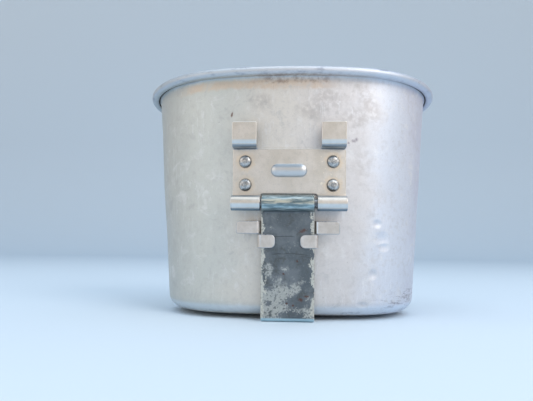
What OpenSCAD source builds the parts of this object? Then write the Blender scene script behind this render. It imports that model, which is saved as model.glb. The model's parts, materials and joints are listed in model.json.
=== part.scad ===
// Kidney-shaped field canteen cup with a rolled rim and a folding strap handle.
// The handle swings on a riveted hinge bracket, and a sliding catch on it drops
// into the bracket's two hooks to hold it out. Drawn with the handle folded
// under the base. Millimetres, +Z up, the front wall faces -Y, and the origin
// is on the floor under the middle of the cup.

/* [Cup] */
// Overall width across the rolled rim
cup_w = 141.4; // [131:0.1:151]
// Height from the cup's base to the top of the rim
cup_h = 104; // [100:1:112]
// Sheet thickness of the drawn cup
wall = 1; // [0.8:0.1:1.2]
// Taper of the wall from upright, in degrees
draft = 4.4; // [3:0.1:5]
// Outside diameter of the rolled rim
rim_d = 3.8; // [3.6:0.1:4.4]
// Outside radius of the flare that leads the wall into the rim
flare_r = 6.5; // [5:0.5:9]
// Lean of the sheet from upright where the rim's curl starts, in degrees
flare_a = 47; // [35:1:55]
// Radius of the front wall at the rim
front_r = 174; // [150:1:200]
// Radius of the two front shoulders at the rim
shoulder_r = 43.7; // [40:0.1:46]
// Radius of the two rear ends at the rim
rear_r = 31; // [28:0.5:34]
// Radius of the hollow back wall at the rim
back_r = 60; // [50:1:90]
// Outside radius between wall and base
corner_r = 6.7; // [5:0.1:8]

/* [Hinge bracket] */
// Height of the hinge pin above the cup's base
hinge_h = 47; // [45:0.1:48]
// Distance of the pin's axis from the wall
axis_out = 3.8; // [3.8:0.1:4.2]
// Sheet thickness of the bracket
bracket_t = 1.05; // [0.9:0.05:1.1]
// Width of the bracket
bracket_w = 47.7; // [47:0.1:49]
// Height of the bracket's plate above the pin
plate_top = 23; // [22.5:0.1:23.5]
// Height of the hooks' tips above the pin
hook_top = 33.75; // [33:0.05:34.1]
// Width of each hook
hook_w = 10.2; // [9.5:0.1:10.4]
// Diameter of the hinge pin
pin_d = 4.2; // [4:0.1:4.2]
// Spacing of the rivets across the bracket
rivet_dx = 36.4; // [36:0.1:37]
// Heights of the lower and upper rivets above the pin
rivet_u = [7.75, 17.6];
// Diameter of the rivets' shanks
rivet_d = 3.2; // [3:0.1:3.4]
// Diameter of the rivets' domed heads
rivet_head_d = 5.1; // [4.8:0.1:5.4]

/* [Handle] */
// Width of the handle's strap
strap_w = 22; // [21.5:0.1:22.2]
// Thickness of the strap
strap_t = 1.3; // [1.2:0.05:1.3]
// Sideways play taken up in the hinge
side_play = -0.35; // [-0.6:0.05:0.6]
// Reach of the folded arm, from the pin to its tip
arm_reach = 74; // [66:1:78]
// Radius of the rounded corners at the arm's tip
tip_round = 8; // [3:0.5:10]

/* [Catch] */
// Sheet thickness of the catch
catch_t = 0.9; // [0.8:0.05:0.9]
// Distance from the pin to the catch's near edge
catch_near = 7.4; // [7.2:0.1:7.6]
// Length of the tabs that drop into the hooks
lock_tab_h = 5.2; // [4.8:0.1:5.3]
// Length of the tabs that wrap the strap
wrap_tab_h = 5.55; // [5:0.05:5.7]
// Overall width across the locking tabs
lock_tab_span = 42.4; // [41:0.1:44]
// Gap between the ends of the wrapping tabs
wrap_tab_gap = 10.2; // [9:0.1:12]

/* [Hidden] */
$fn = 180;

fit = 0.05;         // gap between sheets that touch
pin_gap = 0.06;     // radial running clearance on the pin
base_gap = 0.5;     // gap between the folded arm and the base
bend_in = 1.2;      // inside radius of a strap bend
slit = 0.2;         // gap where the rim's curl ends beside the flare
corner_steps = 6;   // facets in a sheet bend

rim_r = rim_d / 2;
curl_r = rim_r - wall;
taper = tan(draft);
pin_r = pin_d / 2;
base_lift = strap_t + base_gap;

// Outward offset of the wall's outer face at height z, counted from the rim.
function wall_o(z) = -(cup_h - z) * taper;

// The flare bends the wall out until it leans by flare_a, and the curl goes on from there round
// to its open end beside the flare. Both are arcs about a centre at (outward offset, height).
flare_to_curl = flare_r + wall - rim_r;
flare_z = cup_h - rim_r - flare_to_curl * sin(flare_a);
flare_c = [wall_o(flare_z + flare_r * sin(draft)) + flare_r * cos(draft), flare_z];
curl_c = flare_c + flare_to_curl * [-cos(flare_a), sin(flare_a)];
rim_o = curl_c.x + rim_r;

// Plan of the wall's outer face at the rim, with the front wall's middle at y = 0.
half_w = cup_w / 2 - rim_o;
shoulder_x = half_w - shoulder_r;
shoulder_a = asin(shoulder_x / (front_r - shoulder_r));
side_y = front_r - (front_r - shoulder_r) * cos(shoulder_a);
rear_x = half_w - rear_r;
back_a = asin(rear_x / (back_r + rear_r));
back_y = side_y + (back_r + rear_r) * cos(back_a);
front_edge = -rim_o;
rear_edge = side_y + rear_r + rim_o;
mid_y = (front_edge + rear_edge) / 2;

// The hinge's own frame: X across, Y up the wall from the pin's height, Z out of the wall.
wall_y = -wall_o(hinge_h);
out_dir = [-cos(draft), -sin(draft)];
pin_yz = [wall_y, hinge_h + base_lift] + axis_out * out_dir;

// ---- helpers ----

function unit(v) = v / norm(v);
function turned(v, a) = [v.x * cos(a) - v.y * sin(a), v.x * sin(a) + v.y * cos(a)];
function tail(list) = [for (i = [1:len(list) - 1]) list[i]];
function arc(c, r, a0, a1, n) = [for (i = [0:n]) c + r * [cos(a0 + (a1 - a0) * i / n), sin(a0 + (a1 - a0) * i / n)]];

// Points of a corner at b between a and c, rounded to radius r.
function corner(a, b, c, r, n = corner_steps) =
    r == 0 ? [b] :
    let (u = unit(a - b), w = unit(c - b), half = acos(u * w) / 2,
         m = b + unit(u + w) * r / sin(half),
         s = b + u * r / tan(half) - m,
         e = b + w * r / tan(half) - m,
         turn = atan2(cross(s, e), s * e))
    [for (i = [0:n]) m + turned(s, turn * i / n)];

// A closed outline with rounded corners, and an open path with rounded bends.
function rounded(p, r) =
    let (n = len(p)) [for (i = [0:n - 1]) each corner(p[(i + n - 1) % n], p[i], p[(i + 1) % n], r[i])];
function bent(p, r) =
    [p[0], for (i = [1:len(p) - 2]) each corner(p[i - 1], p[i], p[i + 1], r[i - 1]), p[len(p) - 1]];

// Outline of a sheet of thickness t whose middle follows a path.
function side_of(p, i) =
    let (a = unit(p[min(i + 1, len(p) - 1)] - p[min(i, len(p) - 2)]),
         b = unit(p[max(i, 1)] - p[max(i - 1, 0)]), m = unit(a + b))
    [-m.y, m.x] / (m * a);
function sheet(p, t) =
    concat([for (i = [0:len(p) - 1]) p[i] + side_of(p, i) * t / 2],
           [for (i = [len(p) - 1:-1:0]) p[i] - side_of(p, i) * t / 2]);

// Extrudes an outline of (y, z) points across X from x0 to x1.
module across(x0, x1) {
    translate([x0, 0, 0]) rotate([90, 0, 90]) linear_extrude(x1 - x0) children();
}

module both_sides() {
    children();
    mirror([1, 0, 0]) children();
}

module cup_frame() {
    translate([0, -mid_y, base_lift]) children();
}

// Places children in the hinge's frame, turned by angle a round the front wall's own axis.
module hinge_frame(a = 0) {
    cup_frame() translate([0, front_r, 0]) rotate([0, 0, a]) translate([0, wall_y - front_r, hinge_h])
        rotate([90 + draft, 0, 0]) children();
}

// ---- cup ----

// Section of the drawn wall as (outward offset, height): up the outside, round the open
// rim curl and down the inside.
corner_o = wall_o(corner_r) - corner_r / cos(draft);
curl_end = -flare_a - acos((pow(rim_r, 2) + pow(flare_to_curl, 2) - pow(flare_r - slit, 2))
                           / (2 * rim_r * flare_to_curl));
section = concat(
    arc([corner_o, corner_r], corner_r, -90, -draft, 6),
    arc(flare_c, flare_r, 180 - draft, 180 - flare_a, 5),
    tail(arc(curl_c, curl_r, 180 - flare_a, curl_end, 9)),
    arc(curl_c, rim_r, curl_end, 180 - flare_a, 16),
    tail(arc(flare_c, flare_r + wall, 180 - flare_a, 180 - draft, 5)),
    arc([corner_o, corner_r], corner_r - wall, -draft, -90, 5)
);

// Plan of the cup at outward offset o, going round from the front's middle.
function half_plan(o) = concat(
    arc([0, front_r], front_r + o, -90, -90 + shoulder_a, 4),
    tail(arc([shoulder_x, side_y], shoulder_r + o, -90 + shoulder_a, 0, 10)),
    tail(arc([rear_x, side_y], rear_r + o, 0, 90, 9)),
    tail(arc([rear_x, side_y], rear_r + o, 90, 90 + back_a, 3)),
    tail(arc([0, back_y], back_r - o, -90 + back_a, -90, 4))
);
function plan(o) = let (h = half_plan(o), n = len(h))
    concat(h, [for (i = [n - 2:-1:1]) [-h[i].x, h[i].y]]);

// One closed skin: a ring of points for each point of the section, and flat caps for the base.
module cup_shell() {
    n = len(plan(0));
    m = len(section);
    points = [for (p = section) for (q = plan(p.x)) [q.x, q.y, p.y]];
    skin = [for (j = [0:m - 2], i = [0:n - 1]) let (k = (i + 1) % n)
            [j * n + i, (j + 1) * n + i, (j + 1) * n + k, j * n + k]];
    base = [[for (i = [0:n - 1]) i], [for (i = [n - 1:-1:0]) (m - 1) * n + i]];
    polyhedron(points, concat(skin, base));
}

// Turn round the front wall's axis that puts a rivet at half the rivet spacing.
rivet_a = asin(rivet_dx / 2 / (front_r - wall_y));

// Places children at rivet side sx (-1 left, 1 right) and height number k, with Z out of the wall.
module at_rivet(sx, k) {
    hinge_frame(sx * rivet_a) translate([0, rivet_u[k], 0]) children();
}

module rivet_holes() {
    hole_depth = 12;
    for (sx = [-1, 1], k = [0, 1])
        at_rivet(sx, k) cylinder(d = rivet_d + 2 * fit, h = hole_depth, center = true);
}

module cup_body() {
    color("gainsboro") difference() {
        cup_frame() cup_shell();
        rivet_holes();
    }
}

// Part of the front wall's cone, out to a face at distance d from the wall, for trimming sheet that lies on it.
module front_cone(d, lowest, highest) {
    cone_angle = 20;
    depth = 12;
    skin = d / cos(draft);
    cup_frame() translate([0, front_r, 0]) rotate([0, 0, -90 - cone_angle / 2])
        rotate_extrude(angle = cone_angle)
            polygon([for (q = [[-depth, lowest], [skin, lowest], [skin, highest], [-depth, highest]])
                     [front_r + wall_o(q.y) + q.x, q.y]]);
}

// ---- hinge bracket ----

knuckle_r = pin_r + fit + bracket_t;
strap_knuckle_w = strap_w - 0.5;
knuckle_gap = 1;
inner_x = strap_knuckle_w / 2 + knuckle_gap;
outer_x = bracket_w / 2;
hook_x = outer_x - hook_w - 0.2;
hook_out = 3.6;        // wall to the hooks' inner face
hook_bend = 1.35;      // inside radius of the hooks' bend
notch_top = 3.85;      // top of the gap above the strap's knuckle
bracket_seam_a = -25;  // angle of the knuckles' seam, behind their tops
bump_l = 14.6;         // pressed bump in the middle of the plate
bump_h = 5;
bump_rise = 0.9;
bump_u = 13.9;

module bracket_plate() {
    lowest = hinge_h - 5;
    highest = hinge_h + plate_top + 5;
    depth = 8;
    outline = rounded(
        [[-outer_x, 0], [-inner_x, 0], [-inner_x, notch_top], [inner_x, notch_top], [inner_x, 0],
         [outer_x, 0], [outer_x, plate_top], [-outer_x, plate_top]],
        [0, 0, 1, 1, 0, 0, 0.6, 0.6]);
    intersection() {
        front_cone(bracket_t + fit, lowest, highest);
        hinge_frame() translate([0, 0, -depth / 2]) linear_extrude(depth) polygon(outline);
    }
}

// A stadium-shaped cap of radius r whose crown is rise above the plate's face.
module bump(shrink) {
    r = (pow(bump_h / 2, 2) + pow(bump_rise, 2)) / (2 * bump_rise);
    reach = bump_l / 2 - bump_h / 2;
    hinge_frame() translate([0, bump_u, bracket_t + fit + bump_rise - r]) {
        rotate([0, 90, 0]) cylinder(r = r - shrink, h = 2 * reach, center = true);
        for (sx = [-1, 1]) translate([sx * reach, 0, 0]) sphere(r = r - shrink);
    }
}

module hook() {
    leg_u = plate_top + bracket_t / 2;
    lip_v = hook_out + bracket_t / 2;
    path = bent([[leg_u, -3], [leg_u, lip_v], [hook_top, lip_v]], [hook_bend + bracket_t / 2]);
    hinge_frame() across(hook_x, hook_x + hook_w) polygon(sheet(path, bracket_t));
}

module knuckle() {
    hinge_frame() translate([inner_x, 0, axis_out]) rotate([0, 90, 0])
        cylinder(r = knuckle_r, h = outer_x - inner_x);
}

// The seam where a rolled knuckle's sheet ends on the sheet that it came from.
module seam(radius, width, angle) {
    seam_w = 0.3;
    reach = 1.05 * radius;
    rotate([angle, 0, 0]) translate([-width / 2, radius / 2, -seam_w / 2])
        cube([width, reach - radius / 2, seam_w]);
}

module hinge_bracket() {
    color("linen") difference() {
        union() {
            bracket_plate();
            both_sides() {
                hook();
                knuckle();
            }
            intersection() {
                bump(0);
                hinge_frame() translate([0, bump_u, 0]) linear_extrude(2 * axis_out)
                    square([bump_l + 1, bump_h + 1], center = true);
            }
        }
        bump(bracket_t);
        front_cone(fit, 0, cup_h);
        rivet_holes();
        hinge_frame() translate([0, 0, axis_out]) {
            rotate([0, 90, 0]) cylinder(r = pin_r + fit / 2, h = 2 * bracket_w, center = true);
            seam(knuckle_r, 2 * bracket_w, bracket_seam_a);
        }
    }
}

module hinge_pin() {
    chamfer = 0.4;
    length = bracket_w - 0.4;
    color("lightsteelblue") hinge_frame() translate([-length / 2, 0, axis_out]) rotate([0, 90, 0])
        rotate_extrude() polygon([[0, 0], [pin_r - chamfer, 0], [pin_r, chamfer],
            [pin_r, length - chamfer], [pin_r - chamfer, length], [0, length]]);
}

// A rivet: domed head outside the bracket, shank through both sheets, flat head inside the cup.
module rivet(sx, k) {
    head_h = 1.5;
    crown = 0.9;
    tail_d = 6;
    tail_h = 0.8;
    head_r = rivet_head_d / 2;
    seat = bracket_t + 2 * fit;
    tail = -wall - 2 * fit;
    dome_r = 1.4;
    outline = concat(
        [[0, tail - tail_h], [tail_d / 2 - 0.3, tail - tail_h], [tail_d / 2, tail - tail_h + 0.3],
         [tail_d / 2, tail], [rivet_d / 2, tail], [rivet_d / 2, seat], [head_r, seat]],
        arc([head_r - dome_r, seat + head_h - dome_r], dome_r, 0, 75, 8),
        [[crown / 2, seat + head_h], [0, seat + head_h]]);
    color("silver") at_rivet(sx, k) rotate_extrude() polygon(outline);
}

// ---- handle ----

strap_knuckle_r = pin_r + pin_gap + strap_t;
strap_start = pin_r + pin_gap + 0.45;
strap_seam_a = 213;   // angle of the strap knuckle's seam, behind the strap
down_dir = [sin(draft), -cos(draft)];
strap_mid = pin_yz - out_dir * strap_t / 2;
heel = strap_mid + down_dir * (strap_mid.y - strap_t / 2) / cos(draft);
tip_y = pin_yz.x + arm_reach;

module handle() {
    path = bent([strap_mid + down_dir * strap_start, heel, [tip_y, strap_t / 2]], [bend_in + strap_t / 2]);
    color("slategray") translate([side_play, -mid_y, 0]) difference() {
        union() {
            intersection() {
                across(-strap_w / 2, strap_w / 2) polygon(sheet(path, strap_t));
                linear_extrude(cup_h) polygon(rounded(
                    [[-strap_w / 2, -20], [strap_w / 2, -20], [strap_w / 2, tip_y], [-strap_w / 2, tip_y]],
                    [0, 0, tip_round, tip_round]));
            }
            translate([-strap_knuckle_w / 2, pin_yz.x, pin_yz.y]) rotate([0, 90, 0])
                cylinder(r = strap_knuckle_r, h = strap_knuckle_w);
        }
        translate([0, pin_yz.x, pin_yz.y]) {
            rotate([0, 90, 0]) cylinder(r = pin_r + pin_gap, h = 2 * strap_w, center = true);
            seam(strap_knuckle_r, 2 * strap_w, strap_seam_a);
        }
    }
}

// ---- locking catch ----

catch_gap = 0.15;                                 // catch to strap, front and back
catch_side = 0.5;                                 // catch to strap, each edge
catch_back = axis_out - strap_t - catch_gap;      // the catch plate's face behind the strap
side_x = strap_w / 2 + catch_side + catch_t / 2;
lock_out = 4.3;                                   // wall to the locking tabs' inner face
catch_bend = 0.45 + catch_t / 2;
catch_slit = 0.3;                                 // between a locking tab and a wrapping tab
catch_l = lock_tab_h + catch_slit + wrap_tab_h;

// A stretch of the catch whose sheet follows a half section of (x, v) points, mirrored to both sides.
module catch_stretch(u_top, length, half) {
    path = bent(concat([for (i = [len(half) - 1:-1:0]) [-half[i].x, half[i].y]], half),
                [for (i = [0:2 * len(half) - 3]) catch_bend]);
    translate([0, u_top, 0]) rotate([90, 0, 0]) linear_extrude(length) polygon(sheet(path, catch_t));
}

module locking_catch() {
    back_v = catch_back - catch_t / 2;
    lock_v = lock_out + catch_t / 2;
    wrap_v = axis_out + catch_gap + catch_t / 2;
    lock_half = [[side_x, back_v], [side_x, lock_v], [lock_tab_span / 2, lock_v]];
    wrap_half = [[side_x, back_v], [side_x, wrap_v], [wrap_tab_gap / 2, wrap_v]];
    mid_top = -catch_near - lock_tab_h;
    wrap_top = mid_top - catch_slit;
    depth = 8;
    color("whitesmoke") hinge_frame() translate([side_play, 0, 0]) {
        intersection() {
            catch_stretch(-catch_near, lock_tab_h, lock_half);
            linear_extrude(depth) polygon(rounded(
                [[-lock_tab_span / 2, mid_top], [lock_tab_span / 2, mid_top],
                 [lock_tab_span / 2, -catch_near], [-lock_tab_span / 2, -catch_near]], [1, 1, 1, 1]));
        }
        difference() {
            catch_stretch(wrap_top, wrap_tab_h, wrap_half);
            // Rounds the tab ends by cutting a waisted slot between them.
            translate([0, 0, wrap_v - catch_t]) linear_extrude(depth) wrap_slot(wrap_top);
        }
        translate([0, -catch_near - catch_l / 2, back_v])
            cube([2 * (side_x - catch_bend), catch_l, catch_t], center = true);
    }
}

// Plan of the space between the wrapping tabs, whose ends are rounded.
module wrap_slot(u_top) {
    r = 2.2;
    x = wrap_tab_gap / 2;
    side = x + r;
    low = u_top - wrap_tab_h;
    polygon(concat(
        [[-side, u_top + 1], [side, u_top + 1]],
        arc([side, u_top - r], r, 90, 180, corner_steps),
        arc([side, low + r], r, 180, 270, corner_steps),
        [[side, low - 1], [-side, low - 1]],
        arc([-side, low + r], r, -90, 0, corner_steps),
        arc([-side, u_top - r], r, 0, 90, corner_steps)));
}

cup_body();
hinge_bracket();
hinge_pin();
handle();
locking_catch();
rivet(-1, 1);  // rivet_upper_left
rivet(1, 1);  // rivet_upper_right
rivet(-1, 0);  // rivet_lower_left
rivet(1, 0);  // rivet_lower_right
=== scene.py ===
"""A worn aluminium canteen cup with a riveted hinge bracket and a folding strap handle."""

import json
import math

import bpy
import numpy as np
from mathutils import Euler, Matrix, Vector, noise
from mathutils.geometry import delaunay_2d_cdt


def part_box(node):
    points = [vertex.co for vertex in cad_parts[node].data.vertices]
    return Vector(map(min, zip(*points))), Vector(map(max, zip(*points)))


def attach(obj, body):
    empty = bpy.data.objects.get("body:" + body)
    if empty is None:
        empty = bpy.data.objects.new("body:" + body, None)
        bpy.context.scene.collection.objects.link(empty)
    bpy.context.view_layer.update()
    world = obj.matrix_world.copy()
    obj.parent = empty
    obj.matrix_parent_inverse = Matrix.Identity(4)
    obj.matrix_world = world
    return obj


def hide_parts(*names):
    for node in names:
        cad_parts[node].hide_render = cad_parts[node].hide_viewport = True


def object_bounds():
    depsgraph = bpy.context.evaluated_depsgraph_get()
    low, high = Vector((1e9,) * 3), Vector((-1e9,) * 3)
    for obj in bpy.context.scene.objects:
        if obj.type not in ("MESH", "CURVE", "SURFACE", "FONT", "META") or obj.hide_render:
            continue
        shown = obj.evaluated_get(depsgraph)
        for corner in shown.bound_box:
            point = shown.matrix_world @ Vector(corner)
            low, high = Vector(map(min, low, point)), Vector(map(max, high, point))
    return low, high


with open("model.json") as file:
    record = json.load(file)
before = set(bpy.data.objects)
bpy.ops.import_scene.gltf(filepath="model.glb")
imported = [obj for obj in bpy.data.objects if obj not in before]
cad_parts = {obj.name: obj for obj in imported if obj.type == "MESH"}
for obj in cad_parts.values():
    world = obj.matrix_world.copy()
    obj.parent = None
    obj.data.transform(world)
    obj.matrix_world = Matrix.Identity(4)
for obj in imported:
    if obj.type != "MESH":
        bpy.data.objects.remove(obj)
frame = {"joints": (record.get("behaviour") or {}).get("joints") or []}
cad_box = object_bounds()

# Lengths are in millimetres until a mesh is made. The floor, lights and camera are in metres.
MM = 0.001

# ---- sizes, from the frame and from how the sheets are bent ----

cup_lo, cup_hi = (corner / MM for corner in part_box("cup_body"))
handle_lo, handle_hi = (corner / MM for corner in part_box("handle"))
bracket_lo, bracket_hi = (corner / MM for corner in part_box("hinge_bracket"))
catch_lo, catch_hi = (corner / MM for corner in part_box("locking_catch"))
joints = {joint["name"]: joint for joint in frame["joints"]}
PIN = Vector(joints["handle_swing"]["pos_m"]) / MM
slide_axis = Vector(joints["catch_slide"]["axis"])
DRAFT = math.atan2(slide_axis.y, -slide_axis.z)

WALL = 1.0
RIM_R = 1.9
CURL_R = RIM_R - WALL
FLARE_R = 6.5
FLARE_A = math.radians(47)
FRONT_R = 174.0
SHOULDER_R = 43.7
REAR_R = 31.0
BACK_R = 60.0
CORNER_R = 6.7

AXIS_OUT = 3.8
PIN_R = 2.1
BRACKET_T = 1.05
STRAP_T = 1.3
CATCH_T = 0.9
FIT = 0.05

UP_WALL = Vector((0, -math.sin(DRAFT), math.cos(DRAFT)))
OUT_OF_WALL = Vector((0, -math.cos(DRAFT), -math.sin(DRAFT)))

CUP_H = cup_hi.z - cup_lo.z
TAPER = math.tan(DRAFT)


def wall_offset(z):
    """Outward offset of the wall's outer face at height z above the base, counted from the rim."""
    return -(CUP_H - z) * TAPER


# The wall flares out under the rim, and the curl goes on from the flare, each about a centre.
FLARE_TO_CURL = FLARE_R + WALL - RIM_R
FLARE_Z = CUP_H - RIM_R - FLARE_TO_CURL * math.sin(FLARE_A)
FLARE_TOP = FLARE_Z + FLARE_R * math.sin(DRAFT)
FLARE_O = wall_offset(FLARE_TOP) + FLARE_R * math.cos(DRAFT)
CURL_O = FLARE_O - FLARE_TO_CURL * math.cos(FLARE_A)
CURL_Z = CUP_H - RIM_R
half_w = (cup_hi.x - cup_lo.x) / 2 - CURL_O - RIM_R
front_y = cup_lo.y + CURL_O + RIM_R
shoulder_x = half_w - SHOULDER_R
shoulder_a = math.asin(shoulder_x / (FRONT_R - SHOULDER_R))
side_y = FRONT_R - (FRONT_R - SHOULDER_R) * math.cos(shoulder_a)
rear_x = half_w - REAR_R
back_a = math.asin(rear_x / (BACK_R + REAR_R))
back_y = side_y + (BACK_R + REAR_R) * math.cos(back_a)


# ---- meshes ----

def add_object(name, data):
    thing = bpy.data.objects.new(name, data)
    bpy.context.scene.collection.objects.link(thing)
    return thing


def make_object(name, points, faces, body, material, values=None):
    """A smooth mesh piece from points in millimetres, with values as named numbers on its points."""
    mesh = bpy.data.meshes.new(name)
    mesh.from_pydata((np.asarray(points, float) * MM).tolist(), [], [list(map(int, f)) for f in faces])
    mesh.validate()
    mesh.shade_smooth()
    for key, numbers in (values or {}).items():
        attribute = mesh.attributes.new(key, "FLOAT", "POINT")
        attribute.data.foreach_set("value", np.asarray(numbers, np.float32))
    mesh.materials.append(material)
    piece = add_object(name, mesh)
    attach(piece, body)
    return piece


def unit(v):
    return v / np.linalg.norm(v, axis=-1, keepdims=True)


def smooth(x, low, high):
    t = np.clip((np.asarray(x, float) - low) / (high - low), 0, 1)
    return t * t * (3 - 2 * t)


def lumps(points, size, seed):
    """Smooth noise between -1 and 1 with features of a given size."""
    shift = Vector((seed * 17.3, seed * 7.1, seed * 3.7))
    return np.array([noise.noise(Vector(p) / size + shift) for p in points])


def spread(values, gap):
    """Rising values without those that come closer than a gap after the one before."""
    kept = [values[0]]
    for value in values[1:]:
        if value - kept[-1] > gap:
            kept.append(value)
    return np.array(kept)


# ---- outlines and bent paths ----

def turned(v, angle):
    c, t = math.cos(angle), math.sin(angle)
    return np.array([[c, -t], [t, c]]) @ v


def rounded(right, step=math.radians(15)):
    """A closed outline from the (x, s, radius) corners of its right half, each rounded to its radius."""
    corners = right + [(-x, s, radius) for x, s, radius in reversed(right)]
    out = []
    for i, (x, s, radius) in enumerate(corners):
        b = np.array([x, s], float)
        if radius == 0:
            out.append(b)
            continue
        a, c = (np.array(corners[j % len(corners)][:2], float) for j in (i - 1, i + 1))
        u, w = unit(a - b), unit(c - b)
        half = math.acos(np.clip(u @ w, -1, 1)) / 2
        centre = b + unit(u + w) * radius / math.sin(half)
        start = b + u * radius / math.tan(half) - centre
        turn = math.pi - 2 * half
        if u[0] * w[1] - u[1] * w[0] > 0:
            turn = -turn
        steps = max(2, round(abs(turn) / step))
        out += [centre + turned(start, turn * k / steps) for k in range(steps + 1)]
    return np.array(out)


def inset(loop, distance):
    """The outline moved to its left by a distance, with mitred corners."""
    before = unit(loop - np.roll(loop, 1, 0))
    after = unit(np.roll(loop, -1, 0) - loop)
    n1 = np.c_[-before[:, 1], before[:, 0]]
    n2 = np.c_[-after[:, 1], after[:, 0]]
    mitre = (n1 + n2) / (1 + (n1 * n2).sum(1, keepdims=True))
    return loop + mitre * distance


# A straight that isn't short has a point close to each end, so that bends beside it stay crisp.
CLOSE, SHORT = 0.35, 1.5


class Path:
    """A line bent in a plane: it starts at a point with a heading and goes on by straights and bends."""

    def __init__(self, start, heading):
        self.heading = heading
        self.points = [np.array(start, float)]

    def ahead(self, length, steps=1):
        d = np.array([math.cos(self.heading), math.sin(self.heading)])
        start = self.points[-1]
        close = [CLOSE, length - CLOSE] if length > SHORT else []
        stops = sorted(close + [length * (k + 1) / steps for k in range(steps)])
        self.points += [start + d * stop for stop in stops]
        return self

    def bend(self, radius, angle, step=math.radians(9)):
        """Turns left by a positive angle, and right by a negative one."""
        steps = max(3, math.ceil(abs(angle) / step))
        side = math.copysign(1, angle)
        left = np.array([-math.sin(self.heading), math.cos(self.heading)]) * side
        centre = self.points[-1] + left * radius
        arm = self.points[-1] - centre
        self.points += [centre + turned(arm, angle * k / steps) for k in range(1, steps + 1)]
        self.heading += angle
        return self

    def finish(self):
        self.points = np.array(self.points)
        self.s = np.r_[0, np.cumsum(np.linalg.norm(np.diff(self.points, axis=0), axis=1))]
        return self

    def at(self, s):
        """Points at lengths s along the path, which goes straight on past both ends."""
        s = np.asarray(s, float)
        out = np.stack([np.interp(s, self.s, self.points[:, k]) for k in (0, 1)], -1)
        first, last = unit(self.points[1] - self.points[0]), unit(self.points[-1] - self.points[-2])
        out += np.minimum(s, 0)[..., None] * first
        out += np.maximum(s - self.s[-1], 0)[..., None] * last
        return out


# ---- sheet metal ----

EDGE_STEPS = 6
EDGE_SQUARENESS = 0.75
INNER_RING = 0.18
SAME_PLACE = 1e-5
NO_AREA = 1e-7


def inside(points, loop):
    x, y = points[:, :1], points[:, 1:]
    x0, y0 = loop[:, 0], loop[:, 1]
    x1, y1 = np.roll(x0, -1), np.roll(y0, -1)
    spans = (y0 > y) != (y1 > y)
    with np.errstate(divide="ignore", invalid="ignore"):
        crossing = x < (x1 - x0) * (y - y0) / (y1 - y0) + x0
    return (spans & crossing).sum(1) % 2 == 1


def fill_outline(loop, rows, columns, rings, window):
    """Triangles over an outline, with edges along rows, columns and rings, but only rings in a window."""
    points, edges = [], []

    def add(chain, closed=False):
        start = len(points)
        points.extend(chain)
        n = len(chain)
        edges.extend((start + i, start + (i + 1) % n) for i in range(n if closed else n - 1))

    add(loop, True)
    add(inset(loop, INNER_RING), True)
    low, high = loop.min(0) - 1, loop.max(0) + 1
    for s in rows:
        if window and window[1] < s < window[2]:
            add([(low[0], s), (-window[0], s)])
            add([(window[0], s), (high[0], s)])
        else:
            add([(low[0], s), (high[0], s)])
    for x in columns:
        if window and abs(x) < window[0]:
            add([(x, low[1]), (x, window[1])])
            add([(x, window[2]), (x, high[1])])
        else:
            add([(x, low[1]), (x, high[1])])
    for ring in rings:
        add(ring, True)
    found = delaunay_2d_cdt([Vector(p) for p in points], edges, [], 0, SAME_PLACE)
    flat = np.array([tuple(v) for v in found[0]])
    triangles = np.array([f for f in found[2] if len(f) == 3])
    triangles = triangles[inside(flat[triangles].mean(1), loop)]
    a, b, c = (flat[triangles[:, k]].T for k in range(3))
    u, v = b - a, c - a
    area = u[0] * v[1] - u[1] * v[0]
    solid = np.abs(area) > NO_AREA
    triangles, area = triangles[solid], area[solid]
    triangles[area < 0] = triangles[area < 0][:, ::-1]
    used, triangles = np.unique(triangles, return_inverse=True)
    return flat[used], triangles.reshape(-1, 3)


def distance_to(points, starts, ends):
    """Shortest distance from each point to a set of line pieces."""
    best = np.full(len(points), 1e9)
    for a, b in zip(starts, ends):
        d = b - a
        t = np.clip(((points - a) @ d) / max(d @ d, 1e-12), 0, 1)
        best = np.minimum(best, np.linalg.norm(points - a - t[:, None] * d, axis=1))
    return best


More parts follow.
